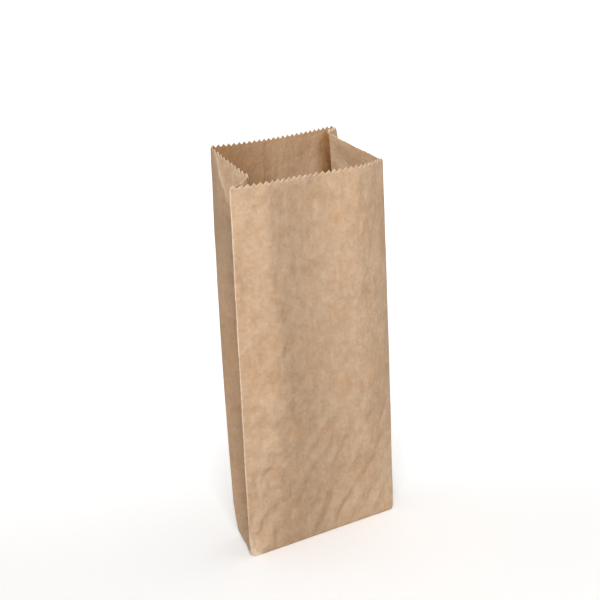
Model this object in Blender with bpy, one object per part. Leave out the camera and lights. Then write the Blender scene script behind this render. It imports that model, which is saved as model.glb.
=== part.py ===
"""Side-gusseted kraft paper bag: one folded sheet, open at a serrated mouth, standing on its bottom.

The sheet is a row of closed rings, each with 102 columns, one for each tooth of the mouth. Every ring
has six folds: front left, front right, right gusset, rear right, rear left and left gusset. The outer
and the inner skin share this layout, and the bottom and the toothed rim close the body.
"""

import math

import bmesh
import bpy
from mathutils import Vector

MM = 0.001

# Sheet
PAPER_THICKNESS = 0.25 * MM
TOOTH_PITCH = 4.14 * MM
TOOTH_HEIGHT = 2.1 * MM
FLAT_TOOTH_SHARE = 0.12
FRONT_TEETH = 29
GUSSET_HALF_TEETH = 11
PANEL_WIDTH = FRONT_TEETH * TOOTH_PITCH
GUSSET_HALF_WIDTH = GUSSET_HALF_TEETH * TOOTH_PITCH

# Heights of the rings, as a share of the way from the bottom to the mouth
RING_SHARES = (
    0.0, 0.004, 0.010, 0.018, 0.040, 0.075, 0.115, 0.17, 0.24,
    0.32, 0.41, 0.50, 0.59, 0.68, 0.77, 0.85, 0.92, 0.97, 1.0,
)

# Folds at the bottom, half way up and at the mouth: x, y, z of each
FRONT_LEFT = ((-64.7, -20.0, 0.0), (-62.4, -31.6, 127.0), (-59.6, -43.5, 256.2))
FRONT_RIGHT = ((55.3, -22.0, 0.0), (56.0, -35.0, 127.0), (54.9, -49.5, 258.2))
REAR_LEFT = ((-52.6, 21.5, 0.0), (-44.2, 25.5, 137.0), (-30.5, 31.6, 276.4))
REAR_RIGHT = ((67.4, 19.5, 0.0), (75.0, 23.0, 137.0), (70.4, 26.4, 276.4))
LEFT_GUSSET_MOUTH = (-28.2, -10.8, 258.2)
RIGHT_GUSSET_MOUTH = (41.5, -7.4, 276.7)
REAR_BEND_MOUTH = (73.6, 36.0, 276.0)
REAR_BEND_TEETH = 3
REAR_BEND_START = 0.55

# Soft forms: how far the front stands forward of a straight line between its folds at the mouth
FRONT_PROFILE = (
    (0.0, 0.0), (0.09, 3.8), (0.18, 7.4), (0.25, 9.5), (0.33, 9.4), (0.42, 9.2), (0.50, 9.9),
    (0.58, 11.8), (0.65, 13.3), (0.72, 13.7), (0.80, 12.0), (0.88, 8.4), (0.95, 3.9), (1.0, 0.0),
)
FRONT_FULL_SHARE = 0.5
NOMINAL_HEIGHT = 260.0 * MM
REAR_BOW = 1.6 * MM
REAR_MOUTH_BOW = -2.6 * MM
REAR_MOUTH_SAG = 1.3 * MM
GUSSET_BOW = 1.0 * MM
LEFT_FRONT_HALF_BOW = 3.0 * MM
LEFT_GUSSET_REACH = 0.93
RIGHT_GUSSET_REACH = 0.93
LEFT_REAR_HALF_BOW = 3.4 * MM
CREASE_HEIGHT = 3.2 * MM
CREASE_LENGTH = 42.0 * MM
GUSSET_FLAT_HEIGHT = 26.0 * MM
BOTTOM_CORNER_RADIUS = 4.5 * MM
BOTTOM_DEPTH = 41.0 * MM
BOTTOM_FOLD_INSET = 1.2 * MM
REAR_LEFT_CORNER_INSET = 2.6 * MM
REAR_LEFT_CORNER_HEIGHT = 26.0 * MM

KRAFT_COLOUR = (0.56, 0.37, 0.23, 1.0)


def remove_all():
    """Empty the file."""
    for obj in list(bpy.data.objects):
        bpy.data.objects.remove(obj, do_unlink=True)


def between(stations, share):
    """Point on the smooth line through three stations."""
    low, middle, high = (Vector(p) * MM for p in stations)
    a = 2 * (share - 0.5) * (share - 1)
    b = 4 * share * (1 - share)
    c = 2 * share * (share - 0.5)
    return low * a + middle * b + high * c


def smooth(value):
    """Ease from 0 to 1."""
    value = min(max(value, 0.0), 1.0)
    return value * value * (3 - 2 * value)


def profile(knots, u):
    """Smooth line through the knots of a profile, read at u."""
    last = len(knots) - 1
    k = 0
    while k < last - 1 and u > knots[k + 1][0]:
        k += 1
    x0, y0 = knots[k]
    x1, y1 = knots[k + 1]
    xa, ya = knots[max(k - 1, 0)]
    xb, yb = knots[min(k + 2, last)]
    span = x1 - x0
    slope0 = (y1 - ya) / (x1 - xa) * span
    slope1 = (yb - y0) / (xb - x0) * span
    t = (u - x0) / span
    low = y0 * (1 - 3 * t ** 2 + 2 * t ** 3) + slope0 * (t - 2 * t ** 2 + t ** 3)
    return low + y1 * (3 * t ** 2 - 2 * t ** 3) + slope1 * (t ** 3 - t ** 2)


def gusset_fold(front, rear, side, reach, share):
    """Centre fold of a gusset, pushed inwards as far as its two halves let it go."""
    middle = (front + rear) / 2
    across = Vector((rear.x - front.x, rear.y - front.y, 0))
    half = across.length / 2
    depth = math.sqrt(max((GUSSET_HALF_WIDTH * reach) ** 2 - half ** 2, 0.0))
    inward = Vector((across.y, -across.x, 0)).normalized() * side
    height = share * NOMINAL_HEIGHT
    depth *= smooth(height / GUSSET_FLAT_HEIGHT)
    return middle + inward * depth


def folds(share):
    """The six folds of one ring and the soft bend beside the rear right fold."""
    front_left = between(FRONT_LEFT, share)
    front_right = between(FRONT_RIGHT, share)
    rear_left = between(REAR_LEFT, share)
    rear_right = between(REAR_RIGHT, share)
    lower = max(0.0, 1 - share * NOMINAL_HEIGHT / REAR_LEFT_CORNER_HEIGHT)
    rear_left.x += REAR_LEFT_CORNER_INSET * lower ** 1.6
    left = gusset_fold(front_left, rear_left, 1, LEFT_GUSSET_REACH, share)
    right = gusset_fold(front_right, rear_right, -1, RIGHT_GUSSET_REACH, share)
    near_mouth = smooth((share - 0.6) / 0.4)
    left = left.lerp(Vector(LEFT_GUSSET_MOUTH) * MM, near_mouth)
    right = right.lerp(Vector(RIGHT_GUSSET_MOUTH) * MM, near_mouth)
    straight = rear_right.lerp(rear_left, REAR_BEND_TEETH / FRONT_TEETH)
    bend_share = smooth((share - REAR_BEND_START) / (1 - REAR_BEND_START))
    bend = straight.lerp(Vector(REAR_BEND_MOUTH) * MM, bend_share)
    return front_left, front_right, right, rear_right, bend, rear_left, left


def side_panel(start, end, count, bow, outward):
    """Points of the rear half of the left gusset, fullest next to the rear fold."""
    points = []
    for i in range(count):
        u = i / count
        points.append(start.lerp(end, u) + outward * (bow * 6.75 * u * (1 - u) ** 2))
    return points


def panel(start, end, count, bow, outward):
    """Points from start up to, but not on, end, with a soft bow."""
    points = []
    for i in range(count):
        u = i / count
        points.append(start.lerp(end, u) + outward * (bow * 4 * u * (1 - u)))
    return points


def front_panel(start, end, share):
    """Points of the front, bulging forward more and more towards the mouth."""
    size = smooth(share / FRONT_FULL_SHARE) * MM
    points = []
    for i in range(FRONT_TEETH):
        u = i / FRONT_TEETH
        points.append(start.lerp(end, u) - Vector((0, profile(FRONT_PROFILE, u) * size, 0)))
    return points


def crease(points, share):
    """Lift the slanted crease that runs down from the rear left corner of the mouth."""
    below = (1 - share) * NOMINAL_HEIGHT
    top = 0.5 + 3.6 * min(below / CREASE_LENGTH, 1.25)
    fade = smooth(below / (20 * MM)) * (1 - smooth((below - CREASE_LENGTH) / (60 * MM)))
    lifted = []
    for i, point in enumerate(points):
        tent = min(i / top, (GUSSET_HALF_TEETH - i) / (GUSSET_HALF_TEETH - top))
        lifted.append(point - Vector((CREASE_HEIGHT * smooth(tent) * fade, 0, 0)))
    return lifted


def bottom_inset(point, centre, share):
    """Round the lowest few millimetres of the panels and their corners."""
    height = share * NOMINAL_HEIGHT
    if height >= BOTTOM_CORNER_RADIUS:
        return point
    gap = BOTTOM_CORNER_RADIUS - height
    curve = 1 - math.sqrt(1 - (gap / BOTTOM_CORNER_RADIUS) ** 2)
    across = max(-1.0, min(1.0, (point.x - centre.x) / (PANEL_WIDTH / 2)))
    along = max(-1.0, min(1.0, (point.y - centre.y) / (BOTTOM_DEPTH / 2)))
    point = point.copy()
    point.x -= across ** 7 * curve * BOTTOM_CORNER_RADIUS
    point.y -= along ** 3 * curve * BOTTOM_FOLD_INSET
    return point


def ring(share):
    """Outer skin of the sheet at one height, one point for each tooth valley."""
    front_left, front_right, right, rear_right, bend, rear_left, left = folds(share)
    gusset_bow = GUSSET_BOW * smooth(share * 5)
    half = GUSSET_HALF_TEETH
    front = Vector((0, -1, 0))
    rear = Vector((0, 1, 0))
    points = front_panel(front_left, front_right, share)
    points += panel(front_right, right, half, gusset_bow, rear)
    points += panel(right, rear_right, half, gusset_bow, front)
    points += panel(rear_right, bend, REAR_BEND_TEETH, 0, rear)
    near_mouth = smooth((share - 0.6) / 0.4)
    rear_bow = REAR_BOW * smooth(share * 4) * (1 - near_mouth) + REAR_MOUTH_BOW * near_mouth
    wall = panel(bend, rear_left, FRONT_TEETH - REAR_BEND_TEETH, rear_bow, rear)
    sag = panel(Vector(), Vector(), FRONT_TEETH - REAR_BEND_TEETH, REAR_MOUTH_SAG * near_mouth, Vector((0, 0, -1)))
    points += [point + drop for point, drop in zip(wall, sag)]
    side_bow = LEFT_REAR_HALF_BOW * smooth(share * 4) * (1 - 0.7 * near_mouth)
    points += crease(side_panel(rear_left, left, half, side_bow, Vector((-1, 0, 0))), share)
    inward = LEFT_FRONT_HALF_BOW * near_mouth - gusset_bow * (1 - near_mouth)
    points += panel(left, front_left, half, inward, front)
    centre = (front_left + front_right + rear_right + rear_left) / 4
    return [bottom_inset(point, centre, share) for point in points]


def inner_ring(outer, lift):
    """Same ring moved inwards by the paper's thickness, mitred at the folds."""
    count = len(outer)
    points = []
    for i in range(count):
        before = outer[i] - outer[i - 1]
        after = outer[(i + 1) % count] - outer[i]
        n0 = Vector((-before.y, before.x, 0)).normalized()
        n1 = Vector((-after.y, after.x, 0)).normalized()
        mitre = (n0 + n1).normalized()
        length = PAPER_THICKNESS / max(mitre.dot(n1), 0.3)
        points.append(outer[i] + mitre * length + Vector((0, 0, lift)))
    return points


def bottom_grid(loop):
    """Fill of the bottom between its four sides, as rows from the front to the rear."""
    wide = FRONT_TEETH
    deep = 2 * GUSSET_HALF_TEETH
    front = [loop[i] for i in range(wide + 1)]
    right = [loop[wide + j] for j in range(deep + 1)]
    rear = [loop[wide + deep + wide - i] for i in range(wide + 1)]
    left = [loop[-j % len(loop)] for j in range(deep + 1)]
    rows = []
    for j in range(1, deep):
        v = j / deep
        row = []
        for i in range(1, wide):
            u = i / wide
            sides = left[j].lerp(right[j], u) + front[i].lerp(rear[i], v)
            corners = front[0].lerp(front[wide], u).lerp(rear[0].lerp(rear[wide], u), v)
            row.append(sides - corners)
        rows.append(row)
    return rows


def add_wall(bm, rings):
    """Vertices of all rings and the quads between them, wound outwards."""
    verts = [[bm.verts.new(p) for p in loop] for loop in rings]
    count = len(rings[0])
    for low, high in zip(verts, verts[1:]):
        for i in range(count):
            j = (i + 1) % count
            bm.faces.new((low[i], low[j], high[j], high[i]))
    return verts


def add_bottom(bm, loop_verts, rows):
    """Quads of the bottom, wound to face down."""
    wide = FRONT_TEETH
    deep = 2 * GUSSET_HALF_TEETH
    count = len(loop_verts)
    grid = [[loop_verts[i] for i in range(wide + 1)]]
    for j in range(1, deep):
        inside = [bm.verts.new(p) for p in rows[j - 1]]
        grid.append([loop_verts[-j % count]] + inside + [loop_verts[wide + j]])
    grid.append([loop_verts[wide + deep + wide - i] for i in range(wide + 1)])
    for near, far in zip(grid, grid[1:]):
        for i in range(wide):
            bm.faces.new((near[i], far[i], far[i + 1], near[i + 1]))


def tooth_share(i):
    """Height of one tooth: those of the bend and the front half of the right gusset are worn flatter."""
    flat_gusset = FRONT_TEETH <= i < FRONT_TEETH + GUSSET_HALF_TEETH
    first_bend = FRONT_TEETH + 2 * GUSSET_HALF_TEETH
    flat_bend = first_bend <= i < first_bend + REAR_BEND_TEETH
    return FLAT_TOOTH_SHARE if flat_gusset or flat_bend else 1.0


def tooth_tips(loop, up):
    """Tip over the middle of each pair of valleys, in the plane of the sheet."""
    count = len(loop)
    tips = []
    for i in range(count):
        middle = (loop[i] + loop[(i + 1) % count]) / 2
        tips.append(middle + up[i] * TOOTH_HEIGHT * tooth_share(i))
    return tips


def build_bag():
    """One closed body: outer skin, inner skin, bottom and toothed rim."""
    outer = [ring(share) for share in RING_SHARES]
    inner = []
    for share, loop in zip(RING_SHARES, outer):
        lift = PAPER_THICKNESS * max(0.0, 1 - share * NOMINAL_HEIGHT / BOTTOM_CORNER_RADIUS)
        inner.append(inner_ring(loop, lift))
    bm = bmesh.new()
    outer_verts = add_wall(bm, outer)
    split = len(bm.faces)
    inner_verts = add_wall(bm, inner)
    bm.faces.ensure_lookup_table()
    for face in bm.faces[split:]:
        face.normal_flip()
    add_bottom(bm, outer_verts[0], bottom_grid(outer[0]))
    split = len(bm.faces)
    add_bottom(bm, inner_verts[0], bottom_grid(inner[0]))
    bm.faces.ensure_lookup_table()
    for face in bm.faces[split:]:
        face.normal_flip()
    up = [(a - b).normalized() for a, b in zip(outer[-1], outer[-2])]
    outer_tips = [bm.verts.new(p) for p in tooth_tips(outer[-1], up)]
    inner_tips = [bm.verts.new(p) for p in tooth_tips(inner[-1], up)]
    count = len(outer_tips)
    top = outer_verts[-1]
    low = inner_verts[-1]
    for i in range(count):
        j = (i + 1) % count
        bm.faces.new((top[i], top[j], outer_tips[i]))
        bm.faces.new((low[j], low[i], inner_tips[i]))
        bm.faces.new((top[i], outer_tips[i], inner_tips[i], low[i]))
        bm.faces.new((outer_tips[i], top[j], low[j], inner_tips[i]))
    bmesh.ops.triangulate(bm, faces=bm.faces[:])
    bmesh.ops.recalc_face_normals(bm, faces=bm.faces[:])
    mesh = bpy.data.meshes.new("paper_bag")
    bm.to_mesh(mesh)
    bm.free()
    bag = bpy.data.objects.new("paper_bag", mesh)
    bpy.context.scene.collection.objects.link(bag)
    return bag


def kraft_material():
    """Plain brown paper."""
    material = bpy.data.materials.new("kraft_paper")
    material.use_nodes = True
    shader = material.node_tree.nodes["Principled BSDF"]
    shader.inputs["Base Color"].default_value = KRAFT_COLOUR
    shader.inputs["Roughness"].default_value = 0.85
    return material


remove_all()
paper_bag = build_bag()
paper_bag.data.materials.append(kraft_material())
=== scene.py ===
"""Looks of an open, side-gusseted kraft paper bag that stands on its folded bottom.

The sheet is one closed mesh with an outer and an inner skin. Its columns are counted in teeth of the
serrated mouth, from the front left corner round to the right. Its lengths are in millimetres until the mesh
is made.
"""

import logging
import math
from dataclasses import dataclass, field
from enum import Enum, IntEnum
from typing import Any, Sequence

import bmesh
import bpy
from mathutils import Matrix, Vector, noise


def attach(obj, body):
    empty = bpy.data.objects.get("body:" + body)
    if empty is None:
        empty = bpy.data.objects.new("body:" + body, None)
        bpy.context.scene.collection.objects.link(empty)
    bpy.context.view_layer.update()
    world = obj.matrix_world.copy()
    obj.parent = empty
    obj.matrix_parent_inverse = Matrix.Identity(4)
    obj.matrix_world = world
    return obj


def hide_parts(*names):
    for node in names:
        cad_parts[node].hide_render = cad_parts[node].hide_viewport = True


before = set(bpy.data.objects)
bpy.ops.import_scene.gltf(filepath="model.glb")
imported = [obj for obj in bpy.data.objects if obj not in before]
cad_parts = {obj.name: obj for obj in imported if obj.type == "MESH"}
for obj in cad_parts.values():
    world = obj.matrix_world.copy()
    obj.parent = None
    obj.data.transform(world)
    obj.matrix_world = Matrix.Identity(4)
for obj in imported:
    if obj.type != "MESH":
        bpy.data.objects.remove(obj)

MM = 0.001
LOG = logging.getLogger("paper_bag")

Triple = tuple[float, float, float]
Stations = tuple[Triple, Triple, Triple]


def smooth(value: float) -> float:
    """Ease a value from 0 to 1."""
    value = min(max(value, 0.0), 1.0)
    return value * value * (3 - 2 * value)


def soft_least(values: Sequence[float], softness: float) -> float:
    """Smooth minimum of several values.

    Args:
        values: the values to take the least of.
        softness: how far from each other two values still blend.

    Returns:
        A value a little under the least one.
    """
    total = sum(math.exp(-v / softness) for v in values)
    return -softness * math.log(total)


class Fold(IntEnum):
    """Folds of the sheet, by the tooth that they stand at."""

    FRONT_LEFT = 0
    FRONT_RIGHT = 29
    RIGHT_GUSSET = 40
    REAR_RIGHT = 51
    REAR_BEND = 54
    REAR_LEFT = 80
    LEFT_GUSSET = 91
    ROUND_AGAIN = 102


class Panel(Enum):
    """Stretches of the sheet between its folds."""

    FRONT = (Fold.FRONT_LEFT, Fold.FRONT_RIGHT)
    RIGHT_FRONT_HALF = (Fold.FRONT_RIGHT, Fold.RIGHT_GUSSET)
    RIGHT_REAR_HALF = (Fold.RIGHT_GUSSET, Fold.REAR_RIGHT)
    REAR_BEND = (Fold.REAR_RIGHT, Fold.REAR_BEND)
    REAR = (Fold.REAR_BEND, Fold.REAR_LEFT)
    LEFT_REAR_HALF = (Fold.REAR_LEFT, Fold.LEFT_GUSSET)
    LEFT_FRONT_HALF = (Fold.LEFT_GUSSET, Fold.ROUND_AGAIN)

    @property
    def first(self) -> int:
        """First tooth of the stretch."""
        return self.value[0]

    @property
    def last(self) -> int:
        """Tooth that the stretch ends at."""
        return self.value[1]

    @classmethod
    def at(cls, place: float) -> "Panel":
        """Stretch that holds a place, counted in teeth round the mouth.

        Args:
            place: the place, from 0 up to 102.

        Returns:
            The stretch.
        """
        for panel in cls:
            if panel.first <= place < panel.last:
                return panel
        return cls.FRONT


class Socket:
    """A value or link in a material, for maths written as Python expressions."""

    def __init__(self, graph: "Graph", link: Any) -> None:
        """Keep the graph and the link.

        Args:
            graph: the graph that the link belongs to.
            link: an output socket.
        """
        self.graph = graph
        self.link = link

    def _math(self, operation: str, *values: Any) -> "Socket":
        """Add one Math node.

        Args:
            operation: the node's operation.
            values: what its sockets take.

        Returns:
            The node's result.
        """
        return self.graph.node("ShaderNodeMath", {"operation": operation}, dict(enumerate(values)))

    def __add__(self, other: Any) -> "Socket":
        """Sum of two values."""
        return self._math("ADD", self, other)

    __radd__ = __add__

    def __sub__(self, other: Any) -> "Socket":
        """Difference of two values."""
        return self._math("SUBTRACT", self, other)

    def __rsub__(self, other: Any) -> "Socket":
        """Difference with the plain number first."""
        return self._math("SUBTRACT", other, self)

    def __mul__(self, other: Any) -> "Socket":
        """Product of two values."""
        return self._math("MULTIPLY", self, other)

    __rmul__ = __mul__

    def __abs__(self) -> "Socket":
        """Value without its sign."""
        return self._math("ABSOLUTE", self)

    def eased(self, low: float, high: float) -> "Socket":
        """Smooth step of this value.

        Args:
            low: the value that gives 0.
            high: the value that gives 1.

        Returns:
            The eased value.
        """
        settings = {"interpolation_type": "SMOOTHSTEP", "clamp": True}
        inputs = {"Value": self, "From Min": low, "From Max": high}
        return self.graph.node("ShaderNodeMapRange", settings, inputs)


class Graph:
    """The nodes of one material."""

    def __init__(self, name: str) -> None:
        """Start a material that has only its shader.

        Args:
            name: the material's name.
        """
        self.material = bpy.data.materials.new(name)
        self.material.use_nodes = True
        self.tree = self.material.node_tree
        self.shader = self.tree.nodes["Principled BSDF"]

    def node(self, kind: str, settings: dict[str, Any], inputs: dict[Any, Any], output: Any = 0) -> Socket:
        """Add a node.

        Args:
            kind: the node's type.
            settings: its properties, set first.
            inputs: values or links for its sockets, by name or number.
            output: name or number of the socket to return.

        Returns:
            The chosen output.
        """
        made = self.tree.nodes.new(kind)
        for key, value in settings.items():
            setattr(made, key, value)
        for key, value in inputs.items():
            self.feed(made.inputs[key], value)
        return Socket(self, made.outputs[output])

    def feed(self, target: Any, value: Any) -> None:
        """Link or set one socket.

        Args:
            target: the input socket.
            value: a Socket to link, or a plain value.
        """
        if isinstance(value, Socket):
            self.tree.links.new(value.link, target)
        else:
            target.default_value = value

    def place(self) -> Socket:
        """Position in the object's own frame, in metres."""
        return self.node("ShaderNodeTexCoord", {}, {}, "Object")

    def along(self, place: Socket, axis: int) -> Socket:
        """One coordinate of a position.

        Args:
            place: the position.
            axis: 0 for X, 1 for Y and 2 for Z.

        Returns:
            The coordinate.
        """
        return self.node("ShaderNodeSeparateXYZ", {}, {0: place}, axis)

    def mark(self, name: str) -> Socket:
        """Value that the mesh carries at its vertices, by its name."""
        return self.node("ShaderNodeAttribute", {"attribute_name": name}, {}, "Fac")

    def dress(
        self, tone: Socket, roughness: Socket, height: Socket, depth: float, strength: float = 1.0
    ) -> None:
        """Feed the shader.

        Args:
            tone: the colour.
            roughness: the roughness.
            height: the relief, from 0 to about 1.
            depth: how deep the relief is, in metres.
            strength: how much of the relief shows.
        """
        inputs = {"Strength": strength, "Distance": depth, "Height": height}
        self.feed(self.shader.inputs["Base Color"], tone)
        self.feed(self.shader.inputs["Roughness"], roughness)
        self.feed(self.shader.inputs["Normal"], self.node("ShaderNodeBump", {}, inputs))

    def stretched(self, place: Socket, scale: Triple) -> Socket:
        """Position scaled along each axis.

        Args:
            place: the position.
            scale: the factor along X, Y and Z.

        Returns:
            The scaled position.
        """
        return self.node("ShaderNodeVectorMath", {"operation": "MULTIPLY"}, {0: place, 1: scale})

    def cloud(self, place: Socket, scale: float, detail: float, roughness: float = 0.5) -> Socket:
        """Noise from 0 to 1.

        Args:
            place: the position to read it at.
            scale: blobs per metre.
            detail: octaves.
            roughness: strength of the finer octaves.

        Returns:
            The noise value.
        """
        inputs = {"Vector": place, "Scale": scale, "Detail": detail, "Roughness": roughness}
        return self.node("ShaderNodeTexNoise", {}, inputs)

    def blended(self, share: Any, first: Any, second: Any, how: str = "MIX") -> Socket:
        """Mix of two colours.

        Args:
            share: how much of the second.
            first: colour or link.
            second: colour or link.
            how: the blend type.

        Returns:
            The mixed colour.
        """
        settings = {"data_type": "RGBA", "blend_type": how}
        return self.node("ShaderNodeMix", settings, {0: share, 6: first, 7: second}, 2)


def colour(red: int, green: int, blue: int) -> tuple[float, float, float, float]:
    """Linear colour of a display colour.

    Args:
        red: red from 0 to 255.
        green: green from 0 to 255.
        blue: blue from 0 to 255.

    Returns:
        The linear colour with full opacity.
    """
    parts = []
    for part in (red, green, blue):
        value = part / 255
        parts.append(value / 12.92 if value <= 0.04045 else ((value + 0.055) / 1.055) ** 2.4)
    return parts[0], parts[1], parts[2], 1.0


@dataclass(frozen=True)
class KraftFinish:
    """Uncoated brown paper: mottled fibre, faint yellow spots, fine vertical streaks.

    Scales are in blobs per metre, shares say how much of a colour comes in, and places are in metres.
    """

    name: str = "kraft_sheet"
    pale: Triple = (188, 164, 139)
    middle: Triple = (173, 144, 115)
    deep: Triple = (150, 118, 86)
    warm: Triple = (186, 140, 95)
    # Colour of painted shade inside the bag, in the left gusset's hollow, along the rear seam and on the
    # bottom's flap lines.
    inside: Triple = (122, 76, 14)
    # Pale of rubbed paper, also used for painted highlights on the folds, the crushed corner, the teeth and
    # the facet by the crease.
    worn_and_highlight: Triple = (240, 222, 202)
    # Dark flecks in the paper, also used for the painted shade along the slanted crease.
    speck_and_crease_shade: Triple = (98, 72, 50)
    roughness: float = 0.78
    roughness_spread: float = 0.1
    specular: float = 0.3
    fibre_depth: float = 0.16 * MM
    broad_scale: float = 34
    mottle_scale: float = 150
    fine_scale: float = 430
    grain_scale: float = 1100
    streak_scale: float = 420
    spot_scale: float = 210
    patch_scale: float = 62
    speck_scale: float = 260
    speck_field_scale: float = 75
    grain_stretch: Triple = (1, 1, 0.4)
    streak_stretch: Triple = (1, 1, 0.03)
    middle_share: float = 0.35
    spot_share: float = 0.32
    patch_share: float = 0.16
    speck_share: float = 0.5
    # Painted highlight on the facet by the crease, and painted shade along the crease.
    facet_highlight_share: float = 0.13
    crease_shade_share: float = 0.22
    # Painted shade of a soft fold on the front, as a darker stripe.
    band_depth: float = 0.145
    band_edge: tuple[float, float] = (-0.043, -0.033)
    band_low_edge: tuple[float, float] = (-0.052, -0.022)
    band_end: tuple[float, float] = (-0.022, 0.028)
    band_heights: tuple[float, float] = (0.07, 0.15)
    facet_heights: tuple[float, float] = (0.236, 0.247)

    def material(self) -> bpy.types.Material:
        """Build the material."""
        graph = Graph(self.name)
        place = graph.place()
        broad = graph.cloud(place, self.broad_scale, 2, 0.5).eased(0.3, 0.7)
        mottle = graph.cloud(place, self.mottle_scale, 3, 0.6).eased(0.3, 0.7)
        fine = graph.cloud(place, self.fine_scale, 2, 0.6).eased(0.3, 0.7)
        grain = graph.cloud(graph.stretched(place, self.grain_stretch), self.grain_scale, 2, 0.6)
        streak = graph.cloud(graph.stretched(place, self.streak_stretch), self.streak_scale, 2, 0.5)
        streak = streak.eased(0.35, 0.65)
        mixed = broad * 0.3 + mottle * 0.42 + fine * 0.28
        tone = graph.blended(mixed, colour(*self.deep), colour(*self.pale))
        tone = graph.blended(self.middle_share, tone, colour(*self.middle))
        tone = self.spotted(graph, place, tone)
        # Painted shade of a soft fold: a darker stripe on the front.
        painted_shade_band = self.painted_shade_band(graph, place) * (broad * 0.05 + self.band_depth)
        shade = streak * 0.04 + grain * 0.05 + 0.93 - painted_shade_band
        grey = graph.node("ShaderNodeCombineColor", {}, {0: shade, 1: shade, 2: shade})
        tone = graph.blended(1.0, tone, grey, "MULTIPLY")
        tone = self.specked(graph, place, tone)
        # Painted highlight on the lifted facet and painted shade along the slanted crease.
        tone = self.creased(graph, place, tone)
        # Painted shade from the mesh's mark: inside the bag, in the left gusset's hollow, along the rear seam
        # and on the bottom's flap lines.
        tone = graph.blended(graph.mark("painted_shade") * (mottle * 0.4 + 0.6), tone, colour(*self.inside))
        # Rubbed pale folds and cut edge, with painted highlights on the front left fold, its crushed foot and
        # the rising side of each tooth.
        tone = graph.blended(graph.mark("wear_and_highlight") * (fine * 0.5 + 0.6), tone, colour(*self.worn_and_highlight))
        roughness = self.roughness + (mottle - 0.5) * self.roughness_spread
        height = fine * 0.9 + grain * 0.05 + streak * 0.1 + mottle * 1.3
        graph.dress(tone, roughness, height, self.fibre_depth)
        graph.shader.inputs["Specular IOR Level"].default_value = self.specular
        return graph.material

    def spotted(self, graph: Graph, place: Socket, tone: Socket) -> Socket:
        """Add small yellow spots and wide warm patches.

        Args:
            graph: the material's graph.
            place: the position.
            tone: the colour so far.

        Returns:
            The colour with them.
        """
        spots = graph.cloud(place, self.spot_scale, 1, 0.4).eased(0.62, 0.76)
        patches = graph.cloud(place, self.patch_scale, 2, 0.5).eased(0.5, 0.75)
        tone = graph.blended(spots * self.spot_share, tone, colour(*self.warm))
        return graph.blended(patches * self.patch_share, tone, colour(*self.warm))

    def painted_shade_band(self, graph: Graph, place: Socket) -> Socket:
        """Painted shade of a soft fold: a darker stripe right of the front's left quarter, with a sharp left
        edge that turns soft low down.

        Args:
            graph: the material's graph.
            place: the position.

        Returns:
            The band's strength, from 0 to 1.
        """
        across = graph.along(place, 0)
        high = graph.along(place, 2).eased(*self.band_heights)
        start = across.eased(*self.band_edge) * high + across.eased(*self.band_low_edge) * (1 - high)
        return start * (1 - across.eased(*self.band_end))

    def specked(self, graph: Graph, place: Socket, tone: Socket) -> Socket:
        """Add a few dark specks.

        Args:
            graph: the material's graph.
            place: the position.
            tone: the colour so far.

        Returns:
            The colour with them.
        """
        inputs = {"Vector": place, "Scale": self.speck_scale, "Randomness": 1.0}
        dots = graph.node("ShaderNodeTexVoronoi", {"feature": "F1"}, inputs)
        few = graph.cloud(place, self.speck_field_scale, 1, 0.4).eased(0.68, 0.76)
        return graph.blended((1 - dots.eased(0.08, 0.2)) * few * self.speck_share, tone, colour(*self.speck_and_crease_shade))

    def creased(self, graph: Graph, place: Socket, tone: Socket) -> Socket:
        """Paint a highlight on the lifted facet beside the slanted crease, and paint a line of shade along
        the crease.

        Args:
            graph: the material's graph.
            place: the position.
            tone: the colour so far.

        Returns:
            The colour with both.
        """
        facet = graph.mark("facet")
        mouth = graph.along(place, 2).eased(*self.facet_heights)
        # Painted highlight on the lifted facet.
        glow = facet.eased(0.46, 0.54) * (1.3 - facet.eased(0.55, 1.0))
        tone = graph.blended(glow * mouth * self.facet_highlight_share, tone, colour(*self.worn_and_highlight))
        # Painted shade along the crease.
        line = (1 - abs(facet - 0.45).eased(0.0, 0.09)) * mouth
        return graph.blended(line * self.crease_shade_share, tone, colour(*self.speck_and_crease_shade))


@dataclass(frozen=True)
class CutEdgeFinish:
    """Freshly cut paper at the toothed rim, paler than the face of the sheet."""

    name: str = "kraft_cut_edge"
    pale: Triple = (228, 206, 180)
    deep: Triple = (200, 170, 138)
    roughness: float = 0.9
    roughness_spread: float = 0.1
    fuzz_scale: float = 900
    fuzz_depth: float = 0.04 * MM
    fuzz_strength: float = 0.4

    def material(self) -> bpy.types.Material:
        """Build the material."""
        graph = Graph(self.name)
        fuzz = graph.cloud(graph.place(), self.fuzz_scale, 3, 0.6).eased(0.3, 0.7)
        tone = graph.blended(fuzz, colour(*self.deep), colour(*self.pale))
        roughness = self.roughness - fuzz * self.roughness_spread
        graph.dress(tone, roughness, fuzz, self.fuzz_depth, self.fuzz_strength)
        return graph.material


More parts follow.
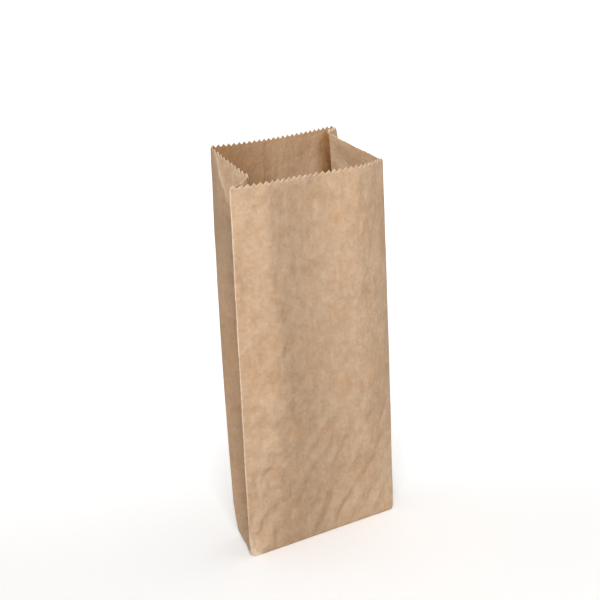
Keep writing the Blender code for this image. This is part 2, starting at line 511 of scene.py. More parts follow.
@dataclass
class BagForm:
    """The folded sheet's form: six folds from the bottom to the mouth, in millimetres."""

    tooth_pitch: float = 4.14
    tooth_height: float = 2.1
    flat_tooth_share: float = 0.12
    low_tooth_share: float = 0.35
    gusset_teeth: int = 11
    nominal_height: float = 260.0
    front_left: Stations = ((-64.7, -20.0, 0.0), (-62.4, -31.6, 127.0), (-59.6, -43.5, 256.2))
    front_right: Stations = ((55.3, -22.0, 0.0), (56.0, -35.0, 127.0), (54.9, -49.5, 258.2))
    rear_left: Stations = ((-52.6, 21.5, 0.0), (-44.2, 25.5, 137.0), (-30.5, 31.6, 276.4))
    rear_right: Stations = ((67.4, 19.5, 0.0), (75.0, 23.0, 137.0), (70.4, 26.4, 276.4))
    left_mouth: Triple = (-28.2, -10.8, 256.4)
    right_mouth: Triple = (41.5, -7.4, 276.7)
    bend_mouth: Triple = (73.6, 36.0, 276.0)
    bend_start: float = 0.55
    front_profile: tuple[tuple[float, float], ...] = (
        (0.0, 0.0), (0.09, 3.8), (0.18, 7.4), (0.25, 9.5), (0.33, 9.4), (0.42, 9.2), (0.50, 9.9),
        (0.58, 11.8), (0.65, 13.3), (0.72, 13.7), (0.80, 12.0), (0.88, 8.4), (0.95, 3.9), (1.0, 0.0),
    )
    front_full_share: float = 0.5
    rear_bow: float = 1.6
    rear_mouth_bow: float = -2.6
    rear_mouth_sag: float = 1.3
    gusset_bow: float = 1.0
    left_front_half_bow: float = 3.0
    left_rear_half_bow: float = 3.4
    left_reach: float = 0.93
    right_reach: float = 0.93
    gusset_flat_height: float = 26.0
    corner_radius: float = 4.5
    bottom_depth: float = 41.0
    fold_inset: float = 1.2
    rear_left_inset: float = 2.6
    rear_left_inset_height: float = 26.0
    half_width: float = 60.0
    mouth_start: float = 0.6
    roll_width: float = 12.0
    roll_height: float = 15.0
    roll_shift: Triple = (3.6, 0.4, 0.0)
    ridge_depth: float = 42.0
    ridge_height: float = 3.5
    ridge_start: float = 1.0
    ridge_run: float = 5.2
    facet_blend: float = 10.0

    def near_mouth(self, share: float) -> float:
        """How far a height has come into the opened mouth, from 0 to 1."""
        return smooth((share - self.mouth_start) / (1 - self.mouth_start))

    @staticmethod
    def between(stations: Stations, share: float) -> Vector:
        """Point on the smooth line through three stations.

        Args:
            stations: the line's low, middle and high points.
            share: how far up, from 0 to 1.

        Returns:
            The point, in millimetres.
        """
        low, middle, high = (Vector(p) for p in stations)
        first = 2 * (share - 0.5) * (share - 1)
        second = 4 * share * (1 - share)
        third = 2 * share * (share - 0.5)
        return low * first + middle * second + high * third

    def profile(self, u: float) -> float:
        """Forward stand of the front at the mouth, on a smooth line through its knots.

        Args:
            u: how far along the front, from 0 to 1.

        Returns:
            The distance, in millimetres.
        """
        knots = self.front_profile
        last = len(knots) - 1
        k = 0
        while k < last - 1 and u > knots[k + 1][0]:
            k += 1
        (x0, y0), (x1, y1) = knots[k], knots[k + 1]
        xa, ya = knots[max(k - 1, 0)]
        xb, yb = knots[min(k + 2, last)]
        span = x1 - x0
        slope0 = (y1 - ya) / (x1 - xa) * span
        slope1 = (yb - y0) / (xb - x0) * span
        t = (u - x0) / span
        low = y0 * (1 - 3 * t**2 + 2 * t**3) + slope0 * (t - 2 * t**2 + t**3)
        return low + y1 * (3 * t**2 - 2 * t**3) + slope1 * (t**3 - t**2)

    def gusset_fold(self, front: Vector, rear: Vector, side: int, reach: float, share: float) -> Vector:
        """Centre fold of a gusset, as far in as its two halves reach.

        Args:
            front: the front fold at this height.
            rear: the rear fold at this height.
            side: 1 for the left gusset and -1 for the right one.
            reach: straight width of a half, as a share of its paper width.
            share: how far up, from 0 to 1.

        Returns:
            The point on the fold.
        """
        across = Vector((rear.x - front.x, rear.y - front.y, 0))
        width = self.gusset_teeth * self.tooth_pitch * reach
        depth = math.sqrt(max(width**2 - (across.length / 2) ** 2, 0.0))
        inward = Vector((across.y, -across.x, 0)).normalized() * side
        depth *= smooth(share * self.nominal_height / self.gusset_flat_height)
        return (front + rear) / 2 + inward * depth

    def folds(self, share: float) -> dict[Fold, Vector]:
        """Fold points of one ring.

        Args:
            share: how far up, from 0 to 1.

        Returns:
            The point of each fold, in millimetres.
        """
        front_left = self.between(self.front_left, share)
        front_right = self.between(self.front_right, share)
        rear_left = self.between(self.rear_left, share)
        rear_right = self.between(self.rear_right, share)
        lower = max(0.0, 1 - share * self.nominal_height / self.rear_left_inset_height)
        rear_left.x += self.rear_left_inset * lower**1.6
        left = self.gusset_fold(front_left, rear_left, 1, self.left_reach, share)
        right = self.gusset_fold(front_right, rear_right, -1, self.right_reach, share)
        near_mouth = self.near_mouth(share)
        left = left.lerp(Vector(self.left_mouth), near_mouth)
        right = right.lerp(Vector(self.right_mouth), near_mouth)
        bend_place = (Fold.REAR_BEND - Fold.REAR_RIGHT) / (Fold.REAR_LEFT - Fold.REAR_RIGHT)
        bend = rear_right.lerp(rear_left, bend_place)
        bend = bend.lerp(Vector(self.bend_mouth), smooth((share - self.bend_start) / (1 - self.bend_start)))
        return {
            Fold.FRONT_LEFT: front_left,
            Fold.FRONT_RIGHT: front_right,
            Fold.RIGHT_GUSSET: right,
            Fold.REAR_RIGHT: rear_right,
            Fold.REAR_BEND: bend,
            Fold.REAR_LEFT: rear_left,
            Fold.LEFT_GUSSET: left,
            Fold.ROUND_AGAIN: front_left,
        }

    def bow(self, panel: Panel, u: float, share: float) -> Vector:
        """Soft curve of one panel away from its flat chord.

        Args:
            panel: the stretch of the sheet.
            u: how far along it, from 0 to 1.
            share: how far up, from 0 to 1.

        Returns:
            The offset, in millimetres.
        """
        arch = 4 * u * (1 - u)
        near_mouth = self.near_mouth(share)
        if panel is Panel.FRONT:
            return Vector((0, -self.profile(u) * smooth(share / self.front_full_share), 0))
        if panel is Panel.REAR:
            size = self.rear_bow * smooth(share * 4) * (1 - near_mouth) + self.rear_mouth_bow * near_mouth
            return Vector((0, size * arch, -self.rear_mouth_sag * near_mouth * arch))
        size = self.gusset_bow * smooth(share * 5) * arch
        if panel is Panel.RIGHT_FRONT_HALF:
            return Vector((0, size, 0))
        if panel is Panel.RIGHT_REAR_HALF:
            return Vector((0, -size, 0))
        if panel is Panel.LEFT_FRONT_HALF:
            return Vector((0, size * (1 - near_mouth) - self.left_front_half_bow * near_mouth * arch, 0))
        if panel is Panel.LEFT_REAR_HALF:
            full = self.left_rear_half_bow * smooth(share * 4) * (1 - 0.7 * near_mouth)
            early_arch = 6.75 * u * (1 - u) ** 2
            return Vector((-full * early_arch, 0, 0))
        return Vector((0, 0, 0))

    def ridge(self, panel: Panel, place: float, below: float) -> float:
        """Outward height of the slanted crease that runs down from the rear left corner of the mouth.

        Args:
            panel: the stretch of the sheet.
            place: where on the sheet, in teeth.
            below: how far under the mouth, in millimetres.

        Returns:
            The height, in millimetres.
        """
        if panel is not Panel.LEFT_REAR_HALF:
            return 0.0
        along = place - panel.first
        crease = self.ridge_place(below)
        teeth = self.gusset_teeth
        tent = soft_least((along / crease, (teeth - along) / (teeth - crease)), 0.03)
        fade = smooth(below / 15) * (1 - smooth((below - self.ridge_depth) / 60))
        return self.ridge_height * max(tent, 0.0) * fade

    def ridge_place(self, below: float) -> float:
        """Distance of the slanted crease from the rear left fold, in teeth, so far under the mouth."""
        down = min(max(below, 0.0) / self.ridge_depth, 1.2)
        return self.ridge_start + self.ridge_run * down**0.55

    def facet(self, place: float, below: float) -> float:
        """Side of the slanted crease: over 0.5 on the lifted facet by the mouth, under it elsewhere.

        Args:
            place: where round the sheet, in teeth.
            below: how far under the mouth, in millimetres.

        Returns:
            The side, from 0 to 1.
        """
        if Panel.at(place) is not Panel.LEFT_REAR_HALF:
            return 0.0
        past = (place - Fold.REAR_LEFT - self.ridge_place(below)) * self.tooth_pitch
        return min(max(0.5 + past / self.facet_blend, 0.0), 1.0)

    def inset(self, point: Vector, centre: Vector, share: float) -> Vector:
        """Round the lowest few millimetres of the panels and their corners.

        Args:
            point: a point of the ring.
            centre: the middle of the ring.
            share: how far up, from 0 to 1.

        Returns:
            The rounded point.
        """
        height = share * self.nominal_height
        if height >= self.corner_radius:
            return point
        gap = self.corner_radius - height
        curve = 1 - math.sqrt(1 - (gap / self.corner_radius) ** 2)
        across = max(-1.0, min(1.0, (point.x - centre.x) / self.half_width))
        along = max(-1.0, min(1.0, (point.y - centre.y) / (self.bottom_depth / 2)))
        shift = Vector((across**7 * curve * self.corner_radius, along**3 * curve * self.fold_inset, 0))
        return point - shift

    def corner_roll(self, place: float, height: float) -> Vector:
        """Soft crushed corner at the foot of the front left fold.

        Args:
            place: where round the sheet, in teeth.
            height: height over the floor, in millimetres.

        Returns:
            How far the sheet stands back there, in millimetres.
        """
        apart = min(place, Fold.ROUND_AGAIN - place) * self.tooth_pitch
        reach = self.roll_width if place < Fold.REAR_RIGHT else self.roll_width * 0.7
        amount = max(0.0, 1 - apart / reach) ** 1.2 * max(0.0, 1 - height / self.roll_height) ** 2
        return Vector(self.roll_shift) * amount

    def tooth(self, place: float) -> float:
        """Height of the toothed edge over its valleys.

        Args:
            place: where on the sheet, in teeth.

        Returns:
            The height, in millimetres.
        """
        shares = {
            Panel.RIGHT_FRONT_HALF: self.flat_tooth_share,
            Panel.REAR_BEND: self.flat_tooth_share,
            Panel.LEFT_FRONT_HALF: self.low_tooth_share,
        }
        return self.tooth_height * shares.get(Panel.at(place), 1.0) * (1 - abs(2 * (place % 1) - 1))


@dataclass(frozen=True)
class Swell:
    """One layer of soft noise on the sheet, in millimetres.

    Attributes:
        size: height of the layer.
        across: width of a blob along the sheet.
        along: length of a blob up the sheet.
        seed: where the noise is read, so that the layers differ.
        turn: rise of the blobs' own width over the sheet's, in degrees.
    """

    size: float
    across: float
    along: float
    seed: float
    turn: float = 0.0

    def at(self, x: float, height: float) -> float:
        """Height of the layer.

        Args:
            x: place along the sheet.
            height: height over the floor.

        Returns:
            The height, from -size to size.
        """
        turned = math.radians(self.turn)
        wide = x * math.cos(turned) + height * math.sin(turned)
        tall = height * math.cos(turned) - x * math.sin(turned)
        return self.size * noise.noise(Vector((wide / self.across, tall / self.along, self.seed)))


@dataclass
class Wrinkles:
    """Soft relief of handled paper, in millimetres, read at a place on the sheet."""

    overall: tuple[Swell, ...] = (
        Swell(1.0, 46, 60, 3.1),
        Swell(0.85, 8.5, 10, 7.7),
        Swell(0.4, 4, 4.6, 1.3),
        Swell(0.05, 2.6, 70, 9.2),
    )
    pillows: Swell = Swell(2.6, 8.5, 10.5, 15.4)
    ripples: Swell = Swell(0.9, 8.0, 2.9, 21.0, 44)
    slanted: Swell = Swell(1.0, 36.0, 7.0, 21.0, 57)
    slanted_size: float = 2.3
    crease: float = 1.1
    rear_share: float = 0.5
    pitch: float = 4.14
    fold_hold: float = 7.0
    floor_hold: float = 8.0
    waver_size: float = 0.22

    def at(self, panel: Panel, place: float, height: float, share: float) -> float:
        """Outward offset of the sheet.

        Args:
            panel: the stretch of the sheet.
            place: where round the sheet, in teeth.
            height: height over the floor, in millimetres.
            share: how far up, from 0 to 1.

        Returns:
            The offset, in millimetres.
        """
        x = place * self.pitch
        edge = min(place - panel.first, panel.last - place) * self.pitch
        hold = smooth(edge / self.fold_hold) * smooth(height / self.floor_hold)
        relief = sum(swell.at(x, height) for swell in self.overall)
        if panel is Panel.FRONT:
            relief += self.front(x, height, place / panel.last, share)
        if panel is Panel.REAR:
            relief *= self.rear_share
        return relief * hold

    def front(self, x: float, height: float, u: float, share: float) -> float:
        """Relief that only the front panel has: dents on its left, slanted folds low down on its right.

        Args:
            x: place along the sheet, in millimetres.
            height: height over the floor, in millimetres.
            u: how far along the front, from 0 to 1.
            share: how far up, from 0 to 1.

        Returns:
            The offset, in millimetres.
        """
        left = 1 - smooth((u - 0.13) / 0.24)
        right = smooth((u - 0.22) / 0.3)
        lower = 1 - smooth((share - 0.15) / 0.3)
        low = 1 - smooth((share - 0.22) / 0.25)
        relief = left * ((1 + 0.6 * lower) * self.pillows.at(x, height) + self.ripples.at(x, height))
        fold = self.slanted.at(x, height)
        relief += self.slanted_size * low * right * (0.4 * fold + 1.4 * fold * abs(fold))
        after = min(max((u - 0.2) / 0.06, 0.0), 1.0) * (1 - smooth((u - 0.28) / 0.3))
        return relief - self.crease * after * smooth((share - 0.3) / 0.3)

    def waver(self, fold: int, height: float) -> float:
        """Small sideways wander of a fold line, in millimetres."""
        return self.waver_size * smooth(height / 12) * noise.noise(Vector((fold * 3.7, height / 17, 0.5)))


@dataclass
class PaperBag:
    """The whole bag as one closed sheet with an outer and an inner skin."""

    name: str = "kraft_bag"
    node: str = "paper_bag"
    slot: str = "kraft_paper"
    thickness: float = 0.25
    row_step: float = 2.1
    fold_offset: float = 0.12
    rim_drop: float = 0.9
    lip: float = 0.8
    seam_place: float = 66.0
    seam_width: float = 3.25
    seam_lift: float = 0.3
    # Painted shade: a dark line along the edge of the rear panel's glued overlap.
    seam_shade: float = 0.3
    # Painted shade: dark lines along the edges of the bottom's folded flaps.
    flap_line: float = 0.36
    flap_shade: float = 0.4
    # Painted highlight on the crushed corner at the foot of the front left fold.
    corner_highlight: float = 0.5
    corner_highlight_height: float = 24.0
    # Painted shade on the inner skin: all over, on the rear wall, in its left corner and in a slit of shadow
    # beside the right gusset.
    inner_shade: float = 0.05
    rear_shade: float = 0.25
    corner_shade: float = 0.4
    slit_place: float = 55.1
    slit_width: float = 1.8
    slit_spread: float = 3.2
    slit_depth: float = 34.0
    form: BagForm = field(default_factory=BagForm)
    wrinkles: Wrinkles = field(default_factory=Wrinkles)
    sheet_finish: KraftFinish = field(default_factory=KraftFinish)
    edge_finish: CutEdgeFinish = field(default_factory=CutEdgeFinish)

    def columns(self) -> list[float]:
        """Places of the columns round the sheet, closer together beside the folds."""
        places = [half / 2 for half in range(2 * Fold.ROUND_AGAIN)]
        for first, last in ((Fold.FRONT_LEFT, Fold.FRONT_RIGHT), (Fold.REAR_RIGHT, Fold.REAR_LEFT)):
            places += [tooth + share for tooth in range(first, last) for share in (0.25, 0.75)]
        for fold in Fold:
            if fold not in (Fold.REAR_BEND, Fold.ROUND_AGAIN):
                places += [(fold - self.fold_offset) % Fold.ROUND_AGAIN, fold + self.fold_offset]
        return sorted(places)

    def shares(self) -> list[float]:
        """Heights of the rows as shares, closer together at the rounded bottom."""
        height = self.form.nominal_height
        low = [0.0, 0.4, 1.0, 1.8, 2.8, 3.8, 5.0, 6.5, 8.5]
        start = 10.5
        count = round((height - start) / self.row_step)
        rest = [start + (height - self.rim_drop - start) * i / count for i in range(count + 1)]
        return [h / height for h in low + rest]

    def ring(self, share: float, places: Sequence[float]) -> list[Vector]:
        """Outer skin at one height.

        Args:
            share: how far up, from 0 to 1.
            places: the columns, in teeth.

        Returns:
            One point for each column, in millimetres.
        """
        folds = self.form.folds(share)
        for fold, point in folds.items():
            folds[fold] = point + Vector((self.wrinkles.waver(fold % Fold.ROUND_AGAIN, point.z), 0, 0))
        corners = (Fold.FRONT_LEFT, Fold.FRONT_RIGHT, Fold.REAR_RIGHT, Fold.REAR_LEFT)
        centre = sum((folds[corner] for corner in corners), Vector()) / 4
        below = (1 - share) * self.form.nominal_height
        points = []
        for place in places:
            panel = Panel.at(place)
            u = (place - panel.first) / (panel.last - panel.first)
            start, end = folds[panel.first], folds[panel.last]
            point = start.lerp(end, u) + self.form.bow(panel, u, share)
            run = Vector((end.x - start.x, end.y - start.y, 0)).normalized()
            outward = Vector((run.y, -run.x, 0))
            relief = self.wrinkles.at(panel, place, point.z, share) + self.form.ridge(panel, place, below)
            relief += self.seam(place)
            point += self.form.corner_roll(place, point.z)
            points.append(self.form.inset(point + outward * relief, centre, share))
        return points

    def seam(self, place: float) -> float:
        """Height of the glued overlap of the rear panel.

        Args:
            place: where round the sheet, in teeth.

        Returns:
            The height, in millimetres.
        """
        over = place - self.seam_place
        return self.seam_lift * smooth(over / 0.3) * (1 - smooth((over - self.seam_width) / 0.5))

    def inner(self, ring: Sequence[Vector], lift: float) -> list[Vector]:
        """Ring moved in by the sheet's thickness, mitred at the folds.

        Args:
            ring: the outer points.
            lift: how far the points also rise.

        Returns:
            The inner points.
        """
        count = len(ring)
        points = []
        for i, point in enumerate(ring):
            before = point - ring[i - 1]
            after = ring[(i + 1) % count] - point
            first = Vector((-before.y, before.x, 0)).normalized()
            second = Vector((-after.y, after.x, 0)).normalized()
            mitre = (first + second).normalized()
            length = self.thickness / max(mitre.dot(second), 0.45)
            points.append(point + mitre * length + Vector((0, 0, lift)))
        return points

    def rim(self, skin: Sequence[Sequence[Vector]], places: Sequence[float], lip: float) -> list[Vector]:
        """Toothed edge over the last row.

        Args:
            skin: the rows so far.
            places: the columns, in teeth.
            lip: how far under the cut the points stay.

        Returns:
            The points of the edge.
        """
        points = []
        for low, high, place in zip(skin[-2], skin[-1], places):
            up = (high - low).normalized()
            points.append(high + up * (self.rim_drop + self.form.tooth(place) - lip))
        return points

    def painted_shade(self, place: float, below: float) -> float:
        """How much painted shade the inner face gets; most in the slit of shadow beside the right gusset and
        in the rear left corner.

        Args:
            place: where round the sheet, in teeth.
            below: how far under the mouth, in millimetres.

        Returns:
            The painted shade, from 0 to 1.
        """
        if place < Fold.REAR_BEND or place > Fold.REAR_LEFT:
            return self.inner_shade
        reach = self.slit_width + self.slit_spread * smooth(below / self.slit_depth)
        slit = (1 - smooth((place - self.slit_place) / reach)) * smooth((below + 6) / 24)
        return max(slit, self.rear_shade + self.corner_shade * smooth((place - 60) / 18))

    def bottom(self, bm: bmesh.types.BMesh, loop: Sequence[Any], places: Sequence[float], flip: bool) -> None:
        """Fill the bottom between its four sides.

        Args:
            bm: the mesh being made.
            loop: the vertices of the lowest row.
            places: their columns, in teeth.
            flip: whether the faces look up.
        """
        wide_teeth, deep_teeth = Fold.FRONT_RIGHT - Fold.FRONT_LEFT, Fold.REAR_RIGHT - Fold.FRONT_RIGHT
        round_sheet = list(zip(places, loop))
        front = [v for p, v in round_sheet if p <= Fold.FRONT_RIGHT]
        right = [v for p, v in round_sheet if Fold.FRONT_RIGHT <= p <= Fold.REAR_RIGHT]
        rear = [v for p, v in reversed(round_sheet) if Fold.REAR_RIGHT <= p <= Fold.REAR_LEFT]
        left = [front[0]] + [v for p, v in reversed(round_sheet) if Fold.REAR_LEFT <= p]
        wide, deep = len(front) - 1, len(right) - 1
        u_of = [p / wide_teeth for p in places if p <= Fold.FRONT_RIGHT]
        right_places = [p for p in places if Fold.FRONT_RIGHT <= p <= Fold.REAR_RIGHT]
        v_of = [(p - Fold.FRONT_RIGHT) / deep_teeth for p in right_places]
        grid = [front]
        painted_shade = bm.verts.layers.float["painted_shade"]
        for j in range(1, deep):
            row = [left[j]]
            for i in range(1, wide):
                u, v = u_of[i], v_of[j]
                sides = left[j].co.lerp(right[j].co, u) + front[i].co.lerp(rear[i].co, v)
                corners = front[0].co.lerp(front[wide].co, u).lerp(rear[0].co.lerp(rear[wide].co, u), v)
                row.append(bm.verts.new(sides - corners))
                # Painted shade: dark lines along the edges of the bottom's folded flaps.
                reach = min(u, 1 - u) * wide_teeth / deep_teeth
                slanted = abs(reach - min(v, 1 - v))
                straight = abs(v - self.flap_line) if reach > self.flap_line else 1
                row[-1][painted_shade] = self.flap_shade * max(0.0, 1 - min(slanted, straight) * 40)
            grid.append(row + [right[j]])
        grid.append(rear)
        for near, far in zip(grid, grid[1:]):
            for i in range(wide):
                corners = (near[i], far[i], far[i + 1], near[i + 1])
                bm.faces.new(tuple(reversed(corners)) if flip else corners)

    def skins(self, places: Sequence[float], shares: Sequence[float]) -> list[list[list[Vector]]]:
        """Rows of the outer and the inner skin, with the toothed edge on top.

        Args:
            places: the columns, in teeth.
            shares: heights of the rows, from 0 to 1.

        Returns:
            The two skins, each as its rows from the bottom up, in millimetres.
        """
        outer = [self.ring(share, places) for share in shares]
        inner = []
        for share, ring in zip(shares, outer):
            above = share * self.form.nominal_height / self.form.corner_radius
            inner.append(self.inner(ring, self.thickness * max(0.0, 1 - above)))
        for skin in (outer, inner):
            skin += [self.rim(skin, places, self.lip), self.rim(skin, places, 0.0)]
        return [outer, inner]

    def paint(
        self, bm: bmesh.types.BMesh, skins: Any, places: Sequence[float], shares: Sequence[float]
    ) -> None:
        """Mark where the paper is rubbed pale or gets a painted highlight, where it gets painted shade and
        which side of the slanted crease it is on.

        Args:
            bm: the mesh being made.
            skins: the vertices of the outer and the inner skin, by row and column.
            places: the columns, in teeth.
            shares: heights of the rows, from 0 to 1, the toothed edge among them.
        """
        wear_and_highlight, painted_shade, facet = (bm.verts.layers.float[name] for name in ("wear_and_highlight", "painted_shade", "facet"))
        # Rubbed pale folds, with a painted highlight where the front left fold catches the light.
        fold_wear_and_highlight = {Fold.FRONT_LEFT: 0.5, self.fold_offset: 0.3, Fold.FRONT_RIGHT: 0.2, Fold.REAR_LEFT: 0.2}
        for ring, share in zip(skins[0], shares):
            for vert, place in zip(ring, places):
                # Painted highlight on the crushed corner at the foot of the front left fold.
                apart = abs(min(place, Fold.ROUND_AGAIN - place) - 0.6) / 2
                corner = max(0.0, 1 - apart) * max(0.0, 1 - vert.co.z / (self.corner_highlight_height * MM))
                vert[wear_and_highlight] = max(fold_wear_and_highlight.get(place, 0.0), self.corner_highlight * corner)
                vert[facet] = self.form.facet(place, (1 - share) * self.form.nominal_height)
                # Painted shade in the left gusset's hollow under the crease, and a painted dark line along
                # the rear seam's edge.
                pocket_shade = 0.2 - 0.1 * share if Fold.REAR_LEFT < place < Fold.LEFT_GUSSET else 0.0
                vert[painted_shade] = self.seam_shade if place == self.seam_place else pocket_shade * (1 - vert[facet])
        # Painted shade on the inner skin.
        for ring, share in zip(skins[1], shares):
            for vert, place in zip(ring, places):
                vert[painted_shade] = self.painted_shade(place, (1 - share) * self.form.nominal_height)
        # Pale cut fibres on the toothed edge, with painted highlights on the rising side of each tooth.
        for skin in skins:
            for vert, place in zip(skin[-1], places):
                vert[wear_and_highlight] = self.cut_wear_and_highlight(place)

    @staticmethod
    def cut_wear_and_highlight(place: float) -> float:
        """How pale the cut edge is: pale cut fibres, with a painted highlight on the rising side of each
        tooth, and less on the left gusset.

        Args:
            place: where round the sheet, in teeth.

        Returns:
            The paleness, from 0 to 1.
        """
        cut = 1.0 if 0.2 < place % 1 < 0.3 else 0.3 if place % 1 < 0.6 else 0.1
        return cut * (0.1 if place > Fold.LEFT_GUSSET else 0.3 if place > Fold.REAR_LEFT else 1.0)

    def close(self, bm: bmesh.types.BMesh, skins: Any, places: Sequence[float]) -> None:
        """Join the rows of both skins, the two bottoms and the cut edge between the skins.

        Args:
            bm: the mesh being made.
            skins: the vertices of the outer and the inner skin, by row and column.
            places: the columns, in teeth.
        """
        count = len(places)
        for skin, flip in zip(skins, (False, True)):
            for low, high in zip(skin, skin[1:]):
                for i in range(count):
                    j = (i + 1) % count
                    corners = (low[i], low[j], high[j], high[i])
                    bm.faces.new(tuple(reversed(corners)) if flip else corners)
            self.bottom(bm, skin[0], places, flip)
        out_rim, in_rim = skins[0][-1], skins[1][-1]
        for i in range(count):
            j = (i + 1) % count
            face = bm.faces.new((out_rim[i], out_rim[j], in_rim[j], in_rim[i]))
            face.material_index = 1
        for face in bm.faces:
            face.smooth = face.material_index == 0
        for edge in bm.edges:
            if len({face.material_index for face in edge.link_faces}) > 1:
                edge.smooth = False

    def mesh(self) -> bpy.types.Mesh:
        """Build the closed mesh in metres."""
        places = self.columns()
        shares = self.shares()
        bm = bmesh.new()
        for name in ("wear_and_highlight", "painted_shade", "facet"):
            bm.verts.layers.float.new(name)
        rows = self.skins(places, shares)
        skins = [[[bm.verts.new(p * MM) for p in ring] for ring in skin] for skin in rows]
        self.paint(bm, skins, places, shares + [1.0, 1.0])
        self.close(bm, skins, places)
        mesh = bpy.data.meshes.new(self.name)
        bm.to_mesh(mesh)
        bm.free()
        return mesh

    def build(self) -> bpy.types.Object:
        """Make the bag, dress it and let it stand for its CAD node."""
        mesh = self.mesh()
        mesh.materials.append(self.sheet_finish.material())
        mesh.materials.append(self.edge_finish.material())
        bag = bpy.data.objects.new(self.name, mesh)
        bpy.context.scene.collection.objects.link(bag)
        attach(bag, "root")
        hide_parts(self.node)
        return bag


@dataclass(frozen=True)
class Lamp:
    """A light of the studio.

    Attributes:
        name: the light's name.
        place: where it hangs, in metres.
        aim: the point that it faces.
        power: its power in watts.
        size: side of its square in metres, or radius of a spotlight's lamp.
        cone: full cone of a spotlight in degrees, or 0 for a square light.
    """

    name: str
    place: Triple
    aim: Triple
    power: float
    size: float
    cone: float = 0.0

    def build(self) -> None:
        """Hang the light."""
        data = bpy.data.lights.new(self.name, "SPOT" if self.cone else "AREA")
        data.energy = self.power
        if self.cone:
            data.spot_size = math.radians(self.cone)
            data.spot_blend = 1.0
            data.shadow_soft_size = self.size
        else:
            data.shape = "SQUARE"
            data.size = self.size
        light = bpy.data.objects.new(self.name, data)
        light.location = self.place
        light.rotation_euler = (Vector(self.aim) - Vector(self.place)).to_track_quat("-Z", "Y").to_euler()
        bpy.context.scene.collection.objects.link(light)


@dataclass(frozen=True)
class StudioPaint:
    """Matt white of the sweep, which glows softly behind the bag."""

    name: str = "studio_paint"
    away: Triple = (0.51, 0.86, 0.0)
    glow_start: float = -0.25
    glow_full: float = 0.6
    glow: float = 0.55
    white: Triple = (248, 248, 248)
    roughness: float = 0.95

    def material(self) -> bpy.types.Material:
        """Build the material."""
        graph = Graph(self.name)
        inputs = {0: graph.place(), 1: self.away}
        away = graph.node("ShaderNodeVectorMath", {"operation": "DOT_PRODUCT"}, inputs, 1)
        glow = graph.blended(away.eased(self.glow_start, self.glow_full), (0, 0, 0, 1), (1, 1, 1, 1))
        graph.feed(graph.shader.inputs["Emission Color"], glow)
        graph.shader.inputs["Emission Strength"].default_value = self.glow
        graph.shader.inputs["Base Color"].default_value = colour(*self.white)
        graph.shader.inputs["Roughness"].default_value = self.roughness
        return graph.material


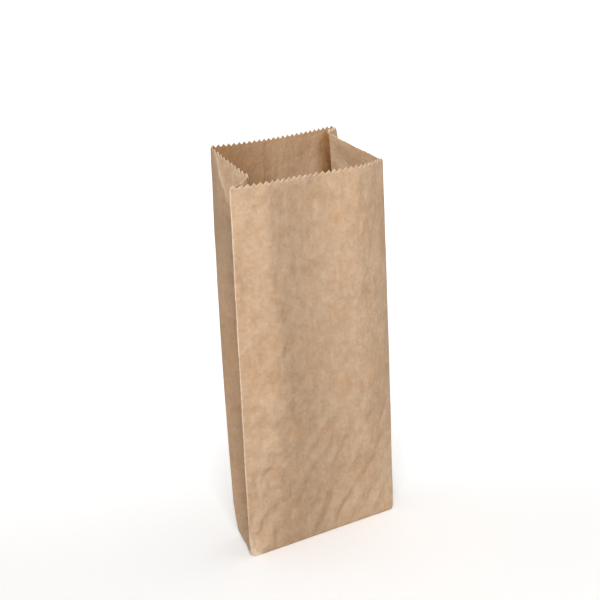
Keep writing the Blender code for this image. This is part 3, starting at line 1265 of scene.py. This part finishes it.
@dataclass
class Studio:
    """Pale sweep, soft lights and the camera."""

    camera_place: Triple = (-0.40992, -0.70521, 0.34719)
    camera_back: Triple = (-0.49830, -0.83944, 0.21689)
    camera_roll: float = -6.1786
    lens: float = 72.0
    flat_radius: float = 1.3
    sweep_radius: float = 2.6
    sweep_height: float = 1.6
    sweep_sides: int = 64
    air_colour: tuple[float, float, float, float] = (1.0, 0.98, 0.96, 1)
    air_strength: float = 0.34
    paint: StudioPaint = field(default_factory=StudioPaint)
    lamps: tuple[Lamp, ...] = (
        Lamp("key", (-0.60, -1.08, 0.72), (0, 0, 0.14), 15.5, 0.5),
        Lamp("top", (0.2, -0.3, 1.5), (0, 0, 0.1), 3.0, 1.2),
        Lamp("mouth", (-0.35, -0.85, 1.15), (0.03, 0.03, 0.29), 18, 0.03, 8),
        Lamp("gusset", (-0.95, -0.40, 1.00), (0.065, -0.01, 0.275), 20, 0.02, 8),
        Lamp("inside", (0.40, -0.80, 0.62), (-0.042, -0.018, 0.260), 34, 0.005, 2.8),
        Lamp("facet", (-1.05, -0.35, 0.75), (-0.038, 0.008, 0.264), 9, 0.005, 3.0),
    )

    def profile(self) -> list[tuple[float, float]]:
        """Radius and height of each ring of the sweep, in metres."""
        flat = [(self.flat_radius * i / 6, 0.0) for i in range(1, 7)]
        span = self.sweep_radius - self.flat_radius
        turns = [math.pi / 2 * i / 16 for i in range(1, 17)]
        rise = [(self.flat_radius + span * math.sin(t), self.sweep_height * (1 - math.cos(t))) for t in turns]
        return flat + rise

    def sweep(self) -> bpy.types.Object:
        """Round pale floor that rises softly all round."""
        bm = bmesh.new()
        around = self.sweep_sides
        turns = [2 * math.pi * k / around for k in range(around)]
        rings = []
        for radius, height in self.profile():
            rings.append([bm.verts.new((radius * math.cos(t), radius * math.sin(t), height)) for t in turns])
        bm.faces.new(rings[0])
        for near, far in zip(rings, rings[1:]):
            for k in range(around):
                m = (k + 1) % around
                bm.faces.new((near[k], far[k], far[m], near[m]))
        bmesh.ops.recalc_face_normals(bm, faces=bm.faces[:])
        for face in bm.faces:
            face.smooth = True
        mesh = bpy.data.meshes.new("studio_sweep")
        bm.to_mesh(mesh)
        bm.free()
        mesh.materials.append(self.paint.material())
        floor = bpy.data.objects.new("studio_sweep", mesh)
        bpy.context.scene.collection.objects.link(floor)
        return floor

    def camera(self) -> bpy.types.Object:
        """Add the camera at the photograph's viewing angle."""
        data = bpy.data.cameras.new("camera")
        data.lens = self.lens
        data.sensor_width = 36
        camera = bpy.data.objects.new("camera", data)
        turn = (-Vector(self.camera_back)).to_track_quat("-Z", "Y").to_matrix().to_4x4()
        roll = Matrix.Rotation(math.radians(self.camera_roll), 4, "Z")
        camera.matrix_world = Matrix.Translation(self.camera_place) @ turn @ roll
        bpy.context.scene.collection.objects.link(camera)
        bpy.context.scene.camera = camera
        return camera

    def build(self) -> None:
        """Set up the room, the lights and the camera."""
        world = bpy.data.worlds.new("studio_air")
        world.use_nodes = True
        air = world.node_tree.nodes["Background"]
        air.inputs["Color"].default_value = self.air_colour
        air.inputs["Strength"].default_value = self.air_strength
        bpy.context.scene.world = world
        bpy.context.scene.view_settings.view_transform = "Standard"
        self.sweep()
        for lamp in self.lamps:
            lamp.build()
        self.camera()


def main() -> None:
    """Build the bag and the studio."""
    logging.basicConfig(level=logging.INFO)
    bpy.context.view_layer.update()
    bag = PaperBag().build()
    LOG.info("%s: %d faces", bag.name, len(bag.data.polygons))
    Studio().build()
    bpy.context.view_layer.update()


if __name__ == "__main__":
    main()
